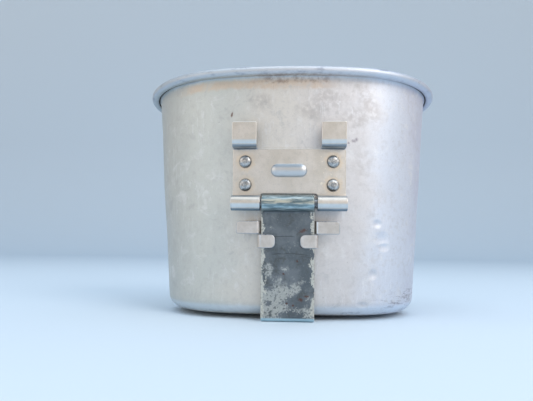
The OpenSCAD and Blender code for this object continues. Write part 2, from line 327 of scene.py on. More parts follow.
def sheet_metal(outline, rows, columns, place, thickness, edge, rings=(), window=None):
    """Points, faces and edge distances of a sheet whose middle is place(x, s), with round edges."""
    flat, triangles = fill_outline(inset(outline, edge), rows, columns, rings, window)
    eps = 0.01
    x, s = flat[:, 0], flat[:, 1]
    middle = place(x, s)
    along_x = (place(x + eps, s) - place(x - eps, s)) / (2 * eps)
    along_s = (place(x, s + eps) - place(x, s - eps)) / (2 * eps)
    normal = unit(np.cross(along_x, along_s))

    sides = dict.fromkeys((tri[k - 1], tri[k]) for tri in triangles for k in (1, 2, 0))
    border = [(a, b) for a, b in sides if (b, a) not in sides]
    outward = np.zeros_like(flat)
    for a, b in border:
        d = unit(flat[b] - flat[a])
        outward[[a, b]] += [d[1], -d[0]]
    rim = sorted({a for a, _ in border})
    outward[rim] = unit(outward[rim])
    slot = {v: k for k, v in enumerate(rim)}

    n, m = len(flat), len(rim)
    points = [middle + normal * thickness / 2, middle - normal * thickness / 2]
    push = outward[rim, :1] * along_x[rim] + outward[rim, 1:] * along_s[rim]
    for k in range(1, EDGE_STEPS):
        angle = math.pi / 2 - math.pi * k / EDGE_STEPS
        reach = edge * abs(math.cos(angle)) ** EDGE_SQUARENESS
        height = thickness / 2 * math.copysign(abs(math.sin(angle)) ** EDGE_SQUARENESS, math.sin(angle))
        points.append(middle[rim] + push * reach + normal[rim] * height)

    def ring(k, v):
        if k == 0:
            return v
        return n + v if k == EDGE_STEPS else 2 * n + (k - 1) * m + slot[v]

    faces = [tuple(t) for t in triangles] + [tuple(n + t[::-1]) for t in triangles]
    for a, b in border:
        for k in range(EDGE_STEPS):
            faces.append((ring(k, b), ring(k, a), ring(k + 1, a), ring(k + 1, b)))
    away = edge + distance_to(flat, flat[[a for a, _ in border]], flat[[b for _, b in border]])
    shares = np.concatenate([away, away, np.zeros(m * (EDGE_STEPS - 1))])
    return np.concatenate(points), faces, shares


def lathe(profile, segments=64):
    """Points and faces of a turned solid, from (radius, height) pairs that start and end on the axis."""
    points, faces, rings = [], [], []
    for radius, height in profile:
        turns = [2 * math.pi * k / segments for k in range(segments if radius else 1)]
        rings.append(range(len(points), len(points) + len(turns)))
        points += [(radius * math.cos(t), radius * math.sin(t), height) for t in turns]
    for low, high in zip(rings, rings[1:]):
        for k in range(segments):
            corners = ((low, k), (low, k + 1), (high, k + 1), (high, k))
            faces.append(tuple(dict.fromkeys(ring[j % len(ring)] for ring, j in corners)))
    return np.array(points), faces


def moved(points, matrix):
    m = np.array(matrix)
    return points @ m[:3, :3].T + m[:3, 3]


# ---- places on the front wall ----

def hinge_matrix(turn=0.0):
    """From (across, up from the pin, out of the wall) to the frame, turned round the wall's axis."""
    origin = PIN - OUT_OF_WALL * AXIS_OUT
    directions = Matrix((Vector((1, 0, 0)), UP_WALL, OUT_OF_WALL)).transposed()
    local = Matrix.Translation(origin) @ directions.to_4x4()
    axis = Matrix.Translation((0, front_y + FRONT_R, 0))
    return axis @ Matrix.Rotation(turn, 4, "Z") @ axis.inverted() @ local


def on_wall(x, u, v):
    """Points in the frame from arrays of hinge coordinates."""
    return moved(np.stack(np.broadcast_arrays(x, u, v), -1), hinge_matrix())


def wall_sag(x):
    """How far the curved front wall falls back at x from its middle."""
    radius = FRONT_R + wall_offset(PIN.z - cup_lo.z)
    return radius - np.sqrt(radius**2 - np.asarray(x, float) ** 2)


# ---- cup ----

def plan(offset):
    """Points and outward directions round the cup's plan at an offset from the wall at the rim."""
    quarter = math.pi / 2
    arcs = [
        ((0, FRONT_R), FRONT_R + offset, -quarter, -quarter + shoulder_a, 22, 1),
        ((shoulder_x, side_y), SHOULDER_R + offset, -quarter + shoulder_a, 0, 40, 1),
        ((rear_x, side_y), REAR_R + offset, 0, quarter + back_a, 46, 1),
        ((0, back_y), BACK_R - offset, -quarter + back_a, -quarter, 20, -1),
    ]
    points, normals = [], []
    for centre, radius, a0, a1, steps, side in arcs:
        for k in range(steps + (side == -1)):
            a = a0 + (a1 - a0) * k / steps
            d = np.array([math.cos(a), math.sin(a)])
            points.append(np.array(centre) + d * radius)
            normals.append(d * side)
    points, normals = (np.concatenate([half, np.array(half[-2:0:-1]) * [-1, 1]])
                       for half in (points, normals))
    return points + [0, front_y], normals


def cup_section():
    """Rows of (offset, height, inside, crevice) up the outside, round the curl and down the inside, where
    crevice is the share of painted shade under the curl.
    """
    corner_o = wall_offset(CORNER_R) - CORNER_R / math.cos(DRAFT)
    slit = 0.2
    wall_rows = 46
    reach = RIM_R**2 + FLARE_TO_CURL**2 - (FLARE_R - slit) ** 2
    curl_end = -FLARE_A - math.acos(reach / (2 * RIM_R * FLARE_TO_CURL))

    def arc(o, z, radius, start, end, steps, within, crevice):
        for k in range(steps + 1):
            t = start + (end - start) * k / steps
            yield o + radius * math.cos(t), z + radius * math.sin(t), within, crevice(k / steps)

    def wall(low, high, within):
        for k in range(1, wall_rows):
            t = k / wall_rows
            yield low[0] + (high[0] - low[0]) * t, low[1] + (high[1] - low[1]) * t, within, 0

    def base(height, within):
        return [(corner_o - d, height, within, 0) for d in (14, 11, 8.5, 7, 6, 5, 4, 3, 2, 1)]

    leaving, joining = math.pi - DRAFT, math.pi - FLARE_A
    # How much painted shade each row gets in the crevice under the rim's curl: none, full, rising along
    # the flare, and fading round the curl's outside.
    unshaded, fully_shaded = (lambda t: 0), (lambda t: 1)
    shade_rising, shade_fading = (lambda t: smooth(t, 0.45, 0.62)), (lambda t: 1 - smooth(t, 0, 0.09))
    outside = list(arc(corner_o, CORNER_R, CORNER_R, -math.pi / 2, -DRAFT, 12, 0, unshaded))
    inside_corner = list(arc(corner_o, CORNER_R, CORNER_R - WALL, -math.pi / 2, -DRAFT, 12, 1, unshaded))
    flare = list(arc(FLARE_O, FLARE_Z, FLARE_R, leaving, joining, 16, 0, shade_rising))
    curl_in = list(arc(CURL_O, CURL_Z, CURL_R, joining, curl_end, 18, 0, fully_shaded))
    curl_out = list(arc(CURL_O, CURL_Z, RIM_R, curl_end, joining, 40, 0.5, shade_fading))
    flare_in = list(arc(FLARE_O, FLARE_Z, FLARE_R + WALL, joining, leaving, 12, 1, unshaded))
    rows = base(0, 0) + outside + list(wall(outside[-1], flare[0], 0)) + flare + curl_in[1:]
    rows += curl_out + flare_in[1:] + list(wall(flare_in[-1], inside_corner[-1], 1))
    return rows + inside_corner[::-1] + base(WALL, 1)[::-1]


def dents(points, z):
    """How far use has pushed the wall in or out, in millimetres, with none behind the bracket."""
    x = points[:, 0]
    u = z - (PIN.z - cup_lo.z)
    front = smooth(-points[:, 1], -5, 5)
    bracket = front * (1 - smooth(np.abs(x), 26, 40)) * smooth(u, -14, -2) * (1 - smooth(u, 38, 50))
    at_rim = smooth(z, CUP_H - 18, CUP_H - 5)
    spots = np.c_[points, z]
    large = lumps(spots, 31, 1) * 0.34
    small = lumps(spots, 12, 2) * 0.10
    return (large + small * (1 - at_rim)) * (1 - 0.75 * at_rim) * (1 - bracket)


def make_cup(material):
    rows = cup_section()
    offsets, heights, within, crevice = zip(*rows)
    points = []
    for offset, z in zip(offsets, heights):
        ring, normals = plan(offset)
        reference, _ = plan(wall_offset(max(z, 0)))
        move = dents(reference, np.full(len(reference), float(z))) * smooth(z, 1, 12)
        ring = ring + normals * move[:, None]
        points.append(np.c_[ring, np.full(len(ring), z + cup_lo.z)])
    n, m = len(points[0]), len(rows)
    faces = []
    for j in range(m - 1):
        for i in range(n):
            k = (i + 1) % n
            faces.append((j * n + i, j * n + k, (j + 1) * n + k, (j + 1) * n + i))
    faces.append(range(n - 1, -1, -1))
    faces.append(range((m - 1) * n, m * n))
    points = np.concatenate(points)
    values = {"within": np.repeat(within, n), "crevice": np.repeat(crevice, n)}
    piece = make_object("cup_shell", points, faces, "cup", material, values)
    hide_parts("cup_body")


# ---- hinge bracket ----

KNUCKLE_W = 21.5
KNUCKLE_GAP = 1.0
NOTCH_TOP = 3.85
HOOK_W = 10.2
HOOK_INSET = 0.2
PLATE_TOP = 22.95
LIP_OUT = 3.6
BUMP_U = 13.9
BUMP_W = 5.0
BUMP_L = 14.6
BUMP_REACH = (BUMP_L - BUMP_W) / 2
BUMP_RISE = 0.9
BUMP_Z = PIN.z + BUMP_U * UP_WALL.z


def bump_height(x, u):
    """The pressed oval in the middle of the plate."""
    radius = ((BUMP_W / 2) ** 2 + BUMP_RISE**2) / (2 * BUMP_RISE)
    away = np.hypot(np.maximum(np.abs(x) - BUMP_REACH, 0), u - BUMP_U)
    cap = np.sqrt(np.maximum(radius**2 - np.minimum(away, radius) ** 2, 0)) - (radius - BUMP_RISE)
    soft = 0.08
    return (cap + np.sqrt(cap**2 + soft**2)) / 2


def bump_rings(shift):
    """Stadium outlines round the bump, close together where it leaves the plate."""
    rings = []
    for radius in (0.35, 0.8, 1.2, 1.6, 1.95, 2.2, 2.38, 2.52, 2.68, 2.95, 3.4):
        turn = np.linspace(-math.pi / 2, math.pi / 2, 15)
        right = np.c_[BUMP_REACH + radius * np.cos(turn), radius * np.sin(turn)]
        top = np.c_[np.linspace(BUMP_REACH, -BUMP_REACH, 13)[1:-1], np.full(11, radius)]
        rings.append(np.concatenate([right, top, -right, -top]) + [0, BUMP_U + shift])
    return rings


def bracket_top():
    """Height of the hooks' tips above the pin, along the wall."""
    tip_v = LIP_OUT - AXIS_OUT
    return (bracket_hi.z - PIN.z + tip_v * math.sin(DRAFT)) / math.cos(DRAFT)


def make_bracket(material):
    half = (bracket_hi.x - bracket_lo.x) / 2
    middle = FIT + BRACKET_T / 2
    roll_r = PIN_R + FIT + BRACKET_T / 2
    joggle = AXIS_OUT - roll_r - middle
    seam = math.radians(115)
    joggle_r = 2.2
    joggle_a = math.acos(1 - joggle / (2 * joggle_r))
    joggle_u = 2 * joggle_r * math.sin(joggle_a)
    # (out, up) from the knuckle's seam, under the pin, up behind it and up the plate.
    start = (AXIS_OUT + roll_r * math.cos(seam), roll_r * math.sin(seam))
    path = Path(start, seam - math.pi / 2)
    path.bend(roll_r, -(seam + math.pi), math.radians(10))
    path.bend(joggle_r, joggle_a).bend(joggle_r, -joggle_a).ahead(PLATE_TOP - joggle_u, 9)
    # Away from the hooks the sheet goes on straight, so this much of the path is kept by itself.
    unhooked = Path(start, 0)
    unhooked.points = list(path.points)
    unhooked.finish()
    top_s = unhooked.s[-1]
    leg_r, lip_r = 0.6, 1.35 + BRACKET_T / 2
    lip = LIP_OUT + BRACKET_T / 2
    path.bend(leg_r, -math.pi / 2).ahead(lip - lip_r - leg_r - middle, 3)
    leg_end = len(path.points) - 1
    path.bend(lip_r, math.pi / 2)
    path.ahead(bracket_top() - path.points[-1][1], 4)
    path.finish()
    roll_s = roll_r * (seam + math.pi)
    leg_s = path.s[leg_end]
    hook_x = half - HOOK_W - HOOK_INSET

    def place(x, s):
        x, s = np.asarray(x, float), np.asarray(s, float)
        hooked = (np.abs(x) > hook_x - 0.05) & (s > top_s - 1)
        vu = np.where(hooked[..., None], path.at(s), unhooked.at(s))
        u = vu[..., 1]
        on_plate = smooth(s, roll_s - 1, roll_s + 3.5) * (1 - smooth(s, top_s, leg_s + 1) * hooked)
        bump = bump_height(x, u) * smooth(s, roll_s, roll_s + 4)
        return on_wall(x, u, vu[..., 0] - wall_sag(x) * on_plate + bump * (s < top_s))

    inner = KNUCKLE_W / 2 + KNUCKLE_GAP
    notch_s = top_s - (PLATE_TOP - NOTCH_TOP)
    hook_s = path.s[-1]
    outline = rounded([
        (inner, notch_s, 0.9), (inner, 0, 0.3), (half, 0, 0.3), (half, top_s - 0.3, 0),
        (half - HOOK_INSET, top_s, 0), (half - HOOK_INSET, hook_s, 0.7), (hook_x, hook_s, 0.7),
        (hook_x, top_s, 0.35)])
    shift = top_s - PLATE_TOP
    columns = np.linspace(-half, half, 25)[1:-1]
    window = (BUMP_REACH + 4.2, BUMP_U + shift - 3.8, BUMP_U + shift + 3.8)
    points, faces, away = sheet_metal(outline, path.s[1:-1], columns, place, BRACKET_T, 0.26,
                                      bump_rings(shift), window)
    piece = make_object("bracket_sheet", points, faces, "cup", material,
                        {"edge": away})
    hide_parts("hinge_bracket")


# ---- pin and rivets ----

def make_pin(material):
    lo, hi = (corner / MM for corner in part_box("hinge_pin"))
    half = (hi.x - lo.x) / 2
    round_r, hollow = 0.35, 0.06
    nose = [(PIN_R - round_r + round_r * math.sin(t), half - round_r + round_r * math.cos(t))
            for t in np.linspace(0, math.pi / 2, 5)]
    profile = [(0, -half + hollow)] + [(r, -h) for r, h in nose] + nose[::-1] + [(0, half - hollow)]
    place = Matrix.Translation(PIN) @ Matrix.Rotation(math.pi / 2, 4, "Y")
    points, faces = lathe(profile)
    piece = make_object("pin_rod", moved(points, place), faces, "cup", material)
    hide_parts("hinge_pin")


RIVET_X = 18.2
RIVET_HEIGHTS = {"lower": 7.75, "upper": 17.6}
RIVETS = [(level, side) for level in RIVET_HEIGHTS for side in ("left", "right")]


def rivet_turn(side):
    """How far round the front wall's axis a rivet sits."""
    sign = {"left": -1, "right": 1}[side]
    return sign * math.asin(RIVET_X / (FRONT_R + wall_offset(PIN.z - cup_lo.z)))


def make_rivet(level, side, material, seed):
    """A hammered rivet: domed head on the plate, shank, and a flat head inside the cup."""
    head_r, head_h = 2.55, 1.45
    tail_r, tail_h, tail_round = 3.0, 0.85, 0.3
    shank_r = 1.6
    undercut = 0.15
    seat = BRACKET_T + FIT
    tail = -WALL - 0.06
    dome = [(head_r * math.cos(t) ** 0.62, seat + head_h * math.sin(t) ** 0.9)
            for t in np.linspace(0, math.pi / 2, 14)[:-1]]
    flat = [(tail_r - tail_round * (1 - math.cos(t)), tail - tail_h + tail_round * (1 - math.sin(t)))
            for t in np.linspace(math.pi / 2, 0, 6)]
    profile = [(0, tail - tail_h), (tail_r / 2, tail - tail_h), *flat, (tail_r, tail), (shank_r, tail),
               (shank_r, seat), (head_r - undercut, seat), *dome, (0, seat + head_h)]
    points, faces = lathe(profile)
    reach = np.hypot(points[:, 0], points[:, 1]) / head_r
    crown = smooth(points[:, 2], seat + 0.5, seat + head_h)
    points[:, 2] += lumps(points, 1.1, seed) * 0.13 * crown
    place = hinge_matrix(rivet_turn(side)) @ Matrix.Translation((0, RIVET_HEIGHTS[level], 0))
    name = f"rivet_{level}_{side}"
    piece = make_object(name + "_formed", moved(points, place), faces, "cup", material,
                        {"reach": reach})
    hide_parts(name)


# ---- handle ----

def make_handle(material):
    """One strap: under the base, round the heel, up the front wall and rolled round the pin."""
    half = (handle_hi.x - handle_lo.x) / 2
    centre_x = (handle_hi.x + handle_lo.x) / 2
    roll_r = PIN_R + 0.06 + STRAP_T / 2
    mid = STRAP_T / 2
    heel_r = 1.2 + mid
    upward = math.pi / 2 + DRAFT
    # Where the strap's middle, which runs up behind the pin's axis, meets the level arm's middle.
    line = PIN - OUT_OF_WALL * mid
    rise = (line.z - mid) / math.cos(DRAFT)
    heel_y = line.y + rise * math.sin(DRAFT)
    turn = math.pi - upward
    tangent = heel_r * math.tan(turn / 2)
    joggle_r = 1.3
    joggle_a = math.acos((joggle_r - mid) / (roll_r + joggle_r))
    joggle_u = (roll_r + joggle_r) * math.sin(joggle_a)
    path = Path((handle_hi.y, mid), math.pi)
    path.ahead(handle_hi.y - heel_y - tangent, 30).bend(heel_r, -turn)
    path.ahead(rise - tangent - joggle_u, 18)
    straight_s = len(path.points) - 1
    path.bend(joggle_r, joggle_a).bend(roll_r, -(joggle_a + math.radians(205))).finish()
    knuckle_s = path.s[straight_s] + 1.2

    def place(x, s):
        x, s = np.asarray(x, float), np.asarray(s, float)
        yz = path.at(s)
        return np.stack([centre_x - x, yz[..., 0], yz[..., 1]], -1)

    knuckle = KNUCKLE_W / 2
    tip_round = 8
    outline = rounded([(half, 0, tip_round), (half, knuckle_s, 0.4), (knuckle, knuckle_s + 0.6, 0.2),
                       (knuckle, path.s[-1], 0.3)], math.radians(7))
    columns = np.linspace(-half, half, 11)[1:-1]
    points, faces, away = sheet_metal(outline, path.s[1:-1], columns, place, STRAP_T, 0.3)
    sag = lumps(points, 14, 5) * 0.07
    points[:, 1] += sag * smooth(points[:, 2], 3, 12) * (1 - smooth(points[:, 2], 36, 42))
    piece = make_object("handle_strap", points, faces, "handle", material, {"edge": away})
    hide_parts("handle")


# ---- locking catch ----

def make_catch(material):
    """A sheet behind the strap, with tabs that stand out sideways and tabs that wrap its edges."""
    near, lock_h, slit, wrap_h = 7.4, 5.2, 0.3, 5.55
    gap = 0.15
    centre_x = (catch_hi.x + catch_lo.x) / 2
    back_v = AXIS_OUT - STRAP_T - gap - CATCH_T / 2
    side_x = (handle_hi.x - handle_lo.x) / 2 + 0.5 + CATCH_T / 2
    bend_r = 0.45 + CATCH_T / 2
    lock_v, lock_reach = 4.3 + CATCH_T / 2, (catch_hi.x - catch_lo.x) / 2
    wrap_v, wrap_reach = AXIS_OUT + gap + CATCH_T / 2, 5.1

    def half_path(level, reach, side):
        """(across, out) from the back's middle, up the side, and outwards (side 1) or inwards (-1)."""
        path = Path((0, back_v), 0).ahead(side_x - bend_r, 6)
        path.bend(bend_r, math.pi / 2).ahead(level - back_v - 2 * bend_r, 2)
        path.bend(bend_r, -side * math.pi / 2)
        return path.ahead(abs(reach - side_x) - bend_r, 5).finish()

    lock, wrap = half_path(lock_v, lock_reach, 1), half_path(wrap_v, wrap_reach, -1)
    top, mid_top = -near, -near - lock_h
    mid_low = mid_top - slit
    low = mid_low - wrap_h
    slit_u = mid_top - slit / 2

    def place(s, u):
        s, u = np.asarray(s, float), np.asarray(u, float)
        which = (u > slit_u)[..., None]
        xv = np.where(which, lock.at(np.abs(s)), wrap.at(np.abs(s)))
        return on_wall(centre_x + xv[..., 0] * np.sign(s), u, xv[..., 1])

    # The slit between the two pairs of tabs ends just past where their bends begin.
    flat = side_x - bend_r + 0.22
    a, b = lock.s[-1], wrap.s[-1]
    outline = rounded([(b, low, 2.1), (b, mid_low, 2.1), (flat, mid_low, 0.1), (flat, mid_top, 0.1),
                       (a, mid_top, 0.7), (a, top, 1.4)])
    bends = spread(np.unique(np.concatenate([lock.s, wrap.s])), 0.08)[1:]
    columns = np.concatenate([-bends[::-1], [0], bends])
    rows = [top - 1.6, top - 3.3, mid_low - 1.8, mid_low - 3.7]
    points, faces, away = sheet_metal(outline, rows, columns, place, CATCH_T, 0.26)
    piece = make_object("catch_sheet", points, faces, "catch", material, {"edge": away})
    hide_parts("locking_catch")


# ---- materials ----

def linear(colour):
    """A colour given in the usual 0 to 255 steps, as the linear values that shaders take."""
    shares = (c / 255 for c in colour)
    return (*(c / 12.92 if c <= 0.04045 else ((c + 0.055) / 1.055) ** 2.4 for c in shares), 1)


def new_material(name):
    """A node material and its one shader."""
    material = bpy.data.materials.new(name)
    material.use_nodes = True
    return material, next(n for n in material.node_tree.nodes if n.type == "BSDF_PRINCIPLED")


class Surface:
    """A node material with one metal shader, and short calls for the nodes that feed it.

    Its coordinates are the part's own, in millimetres. Its colour is built up coat by coat, from
    colours in 0 to 255 steps.
    """

    def __init__(self, name, metallic):
        self.material, self.shader = new_material(name)
        tree = self.material.node_tree
        self.nodes, self.links = tree.nodes, tree.links
        self.shader.inputs["Metallic"].default_value = metallic
        scale = self.add("ShaderNodeVectorMath", operation="SCALE")
        self.feed(scale.inputs[0], self.add("ShaderNodeTexCoord").outputs["Object"])
        self.feed(scale.inputs["Scale"], 1 / MM)
        self.coords = scale.outputs[0]
        split = self.add("ShaderNodeSeparateXYZ")
        self.links.new(self.coords, split.inputs[0])
        self.x, self.y, self.z = split.outputs

    def add(self, kind, **settings):
        node = self.nodes.new(kind)
        for key, value in settings.items():
            setattr(node, key, value)
        return node

    def feed(self, socket, value):
        if isinstance(value, bpy.types.NodeSocket):
            self.links.new(value, socket)
        elif isinstance(value, tuple):
            socket.default_value = linear(value)
        else:
            socket.default_value = value

    def math(self, operation, a, b=0.0):
        node = self.add("ShaderNodeMath", operation=operation)
        self.feed(node.inputs[0], a)
        self.feed(node.inputs[1], b)
        return node.outputs[0]

    def chain(self, operation, first, *others):
        for other in others:
            first = self.math(operation, first, other)
        return first

    def times(self, *values):
        return self.chain("MULTIPLY", *values)

    def plus(self, *values):
        return self.chain("ADD", *values)

    def most(self, *values):
        return self.chain("MAXIMUM", *values)

    def step(self, value, low, high):
        """A smooth step of value, from 0 at low to 1 at high, which may lie below low."""
        node = self.add("ShaderNodeMapRange", interpolation_type="SMOOTHSTEP")
        ends = (low, high, 0, 1) if low < high else (high, low, 1, 0)
        for socket, number in zip(node.inputs, (value, *ends)):
            self.feed(socket, number)
        return node.outputs[0]

    def between(self, value, low, high, soft):
        """1 between low and high, with soft borders."""
        above = self.step(value, low - soft, low + soft)
        return self.times(above, self.step(value, high + soft, high - soft))

    def swing(self, value, amount):
        """Noise that goes from 0 to 1, moved to swing about 0 and made larger by an amount."""
        return self.times(self.plus(value, -0.5), amount)

    def ramp(self, value, stops):
        """A colour that changes with value through (value, colour) stops."""
        low, high = stops[0][0], stops[-1][0]
        share = self.math("DIVIDE", self.math("SUBTRACT", value, low), high - low)
        node = self.add("ShaderNodeValToRGB")
        ramp = node.color_ramp
        ramp.interpolation = "EASE"
        for k, (place, colour) in enumerate(stops):
            at = (place - low) / (high - low)
            stop = ramp.elements[k] if k < 2 else ramp.elements.new(at)
            stop.position = at
            stop.color = linear(colour)
        self.feed(node.inputs[0], share)
        return node.outputs[0]

    def noise(self, size, detail, roughness, stretch=(1, 1, 1), shift=0.0, distortion=0.0):
        """Noise with features of a size in millimetres, drawn out by stretch along each axis."""
        mapping = self.add("ShaderNodeMapping")
        self.links.new(self.coords, mapping.inputs["Vector"])
        mapping.inputs["Scale"].default_value = [1 / s for s in stretch]
        mapping.inputs["Location"].default_value = (shift, shift * 0.7, shift * 1.3)
        node = self.add("ShaderNodeTexNoise")
        self.links.new(mapping.outputs[0], node.inputs["Vector"])
        node.inputs["Scale"].default_value = 1 / size
        node.inputs["Detail"].default_value = detail
        node.inputs["Roughness"].default_value = roughness
        node.inputs["Distortion"].default_value = distortion
        return node.outputs["Fac"]

    def spot(self, x, z, rx, rz, soft, wobble=None, turn=0.0):
        """A spot on the front at (x, z), turned by an angle in degrees, with its edge moved by wobble."""
        c, t = math.cos(math.radians(turn)), math.sin(math.radians(turn))
        dx, dz = self.math("SUBTRACT", self.x, x), self.math("SUBTRACT", self.z, z)
        across = self.plus(self.times(dx, c / rx), self.times(dz, t / rx))
        along = self.plus(self.times(dz, c / rz), self.times(dx, -t / rz))
        away = self.math("SQRT", self.plus(self.times(across, across), self.times(along, along)))
        if wobble is not None:
            away = self.plus(away, wobble)
        return self.step(away, 1 + soft, 1 - soft)

    def attribute(self, name):
        return self.add("ShaderNodeAttribute", attribute_name=name).outputs["Fac"]

    def spots(self, wobble, *rows):
        """Several spots, each (x, z, rx, rz, soft) and perhaps a turn."""
        return self.most(*(self.spot(*row[:5], wobble, *row[5:]) for row in rows))

    def mix(self, share, a, b):
        node = self.add("ShaderNodeMix", data_type="RGBA")
        self.feed(node.inputs[0], share)
        self.feed(node.inputs[6], a)
        self.feed(node.inputs[7], b)
        return node.outputs[2]

    def paint(self, colour, *shares):
        """Lays a colour over what is there, as strongly as the product of the shares."""
        self.colour = self.mix(self.times(*shares), self.colour, colour)

    def bump(self, height, distance):
        node = self.add("ShaderNodeBump")
        node.inputs["Distance"].default_value = distance * MM
        self.feed(node.inputs["Height"], height)
        return node.outputs[0]

    def finish(self, roughness, normal=None):
        self.feed(self.shader.inputs["Base Color"], self.colour)
        self.feed(self.shader.inputs["Roughness"], roughness)
        if normal is not None:
            self.links.new(normal, self.shader.inputs["Normal"])
        return self.material


def cup_material():
    """Oxidised aluminium: cloudy greys, heat stain under the rim, smudges, scratches and small dings,
    with painted light: a darker left side, a bluish sheen on the right, a pale blue reflection low on the
    wall, and shade in the crevice under the rim.
    """
    m = Surface("worn_drawn_aluminium", 0.86)
    clouds = m.noise(24, 5, 0.6, shift=4)
    blotch = m.noise(6.5, 6, 0.66, shift=11, distortion=0.6)
    mottle = m.noise(2.2, 5, 0.6, shift=3)
    grain = m.noise(0.55, 3, 0.6)
    front = m.step(m.y, 4, -4)
    outside = m.step(m.attribute("within"), 0.3, 0.1)

    # Tone across the cup, partly real patchy colour and partly painted light: the left side is painted
    # darker and a pale bluish sheen is painted near x = 46 on the right.
    tone_and_side_light = [(-68, (190, 193, 190)), (-38, (202, 203, 197)), (-6, (216, 210, 202)),
            (24, (212, 208, 207)), (46, (212, 216, 225)), (68, (202, 202, 214))]
    m.colour = m.ramp(m.plus(m.x, m.swing(clouds, 30)), tone_and_side_light)
    m.paint((228, 227, 226), m.step(blotch, 0.53, 0.70), 0.45)
    calm = m.plus(0.12, m.times(m.step(m.x, 42, 24), 0.33))
    m.paint((176, 175, 174), m.step(blotch, 0.47, 0.30), calm)
    m.paint((186, 181, 178), m.step(mottle, 0.50, 0.68), 0.22)
    m.paint((165, 165, 168), m.step(grain, 0.45, 0.75), 0.16)

    ragged = m.plus(m.swing(mottle, 1.6), m.swing(blotch, 1.2))
    under_rim = m.plus(m.z, m.swing(mottle, 2.6), m.swing(clouds, 3.0))
    band = m.times(m.between(under_rim, 97.4, 101.2, 0.8), m.between(m.x, -47, 17, 7), front)
    m.paint((212, 184, 154), band, m.step(blotch, 0.25, 0.60), 0.5)
    scorch = m.times(m.between(under_rim, 100.2, 103.2, 0.7), m.between(m.x, -14, 18, 6), front)
    m.paint((152, 124, 106), scorch, m.step(mottle, 0.36, 0.62), 0.6)

    smudges = m.spots(ragged, (16, 93, 9, 5, 0.5), (9, 88.5, 6, 4, 0.5), (34, 91.5, 4, 9, 0.5, 24),
                      (28, 85.5, 6, 4, 0.5), (-12, 92, 5, 3, 0.5))
    faint = m.times(m.spot(31, 66, 4, 9, 0.6, ragged), 0.5)
    smudge = m.times(m.most(smudges, faint), front, m.step(mottle, 0.36, 0.58))
    m.paint((164, 157, 153), smudge, 0.34)
    rough_edge = m.swing(grain, 1.8)
    marks = m.spots(rough_edge, (27.2, 75.4, 0.8, 0.6, 0.9), (28.3, 76.1, 0.6, 0.7, 0.9),
                    (25.0, 74.5, 0.4, 0.4, 0.8))
    m.paint((112, 98, 112), marks, front, 0.6)
    m.paint((112, 78, 66), m.spot(-24.6, 86.7, 0.42, 0.95, 0.5, rough_edge, -15), front, 0.85)

    scuffs = m.noise(1.1, 3, 0.6, stretch=(7, 7, 1), shift=5, distortion=0.8)
    low_right = m.times(m.spot(50, 8, 14, 5, 0.6, ragged, 18), front)
    scuff = m.times(m.between(scuffs, 0.56, 0.62, 0.025), m.most(low_right, m.step(m.z, 5.5, 2.5)))
    m.paint((120, 116, 130), scuff, 0.6)
    wear = m.noise(1.4, 3, 0.6, stretch=(1, 1, 14), shift=9)
    scratch = m.between(wear, 0.60, 0.625, 0.012)
    m.paint((235, 236, 240), scratch, m.step(clouds, 0.42, 0.6), outside, 0.35)

    specks = m.noise(0.9, 2, 0.5, shift=21)
    m.paint((125, 118, 115), m.step(specks, 0.735, 0.77), m.step(blotch, 0.4, 0.6), 0.5)
    m.paint((150, 146, 140), m.attribute("within"), m.step(blotch, 0.35, 0.7), 0.35)
    # Painted reflection: a pale blue band low on the outside of the wall, just above the base.
    m.paint((216, 230, 244), m.between(m.z, 2.6, 6.0, 0.9), outside, 0.4)

    # Painted shade: the crevice under the rim's curl is painted near-black brown.
    crevice = m.attribute("crevice")
    m.paint((62, 50, 47), crevice, 0.93)
    rim = m.times(m.step(m.z, 101.6, 102.6), m.step(crevice, 0.1, 0))
    smears = m.noise(2.4, 4, 0.6, stretch=(3, 3, 1), shift=14)
    m.paint((186, 194, 206), rim, 0.6)
    m.paint((122, 128, 146), rim, m.step(smears, 0.54, 0.68), 0.45)

    dings = m.spots(None, (37.5, 40.8, 1.4, 1.2, 0.9), (39.6, 34.5, 2.4, 2.0, 0.9),
                    (40.4, 31.2, 1.8, 1.4, 0.9), (35.5, 19.5, 1.3, 1.5, 0.9), (31, 6.8, 1.6, 0.9, 0.9))
    roughness = m.plus(0.46, m.times(blotch, 0.12), m.times(mottle, 0.08), m.times(rim, -0.04),
                       m.times(crevice, 0.3))
    height = m.plus(m.times(grain, 0.05), m.times(mottle, 0.10), m.times(scuff, -0.12),
                    m.times(dings, front, -1.1))
    return m.finish(roughness, m.bump(height, 0.35))


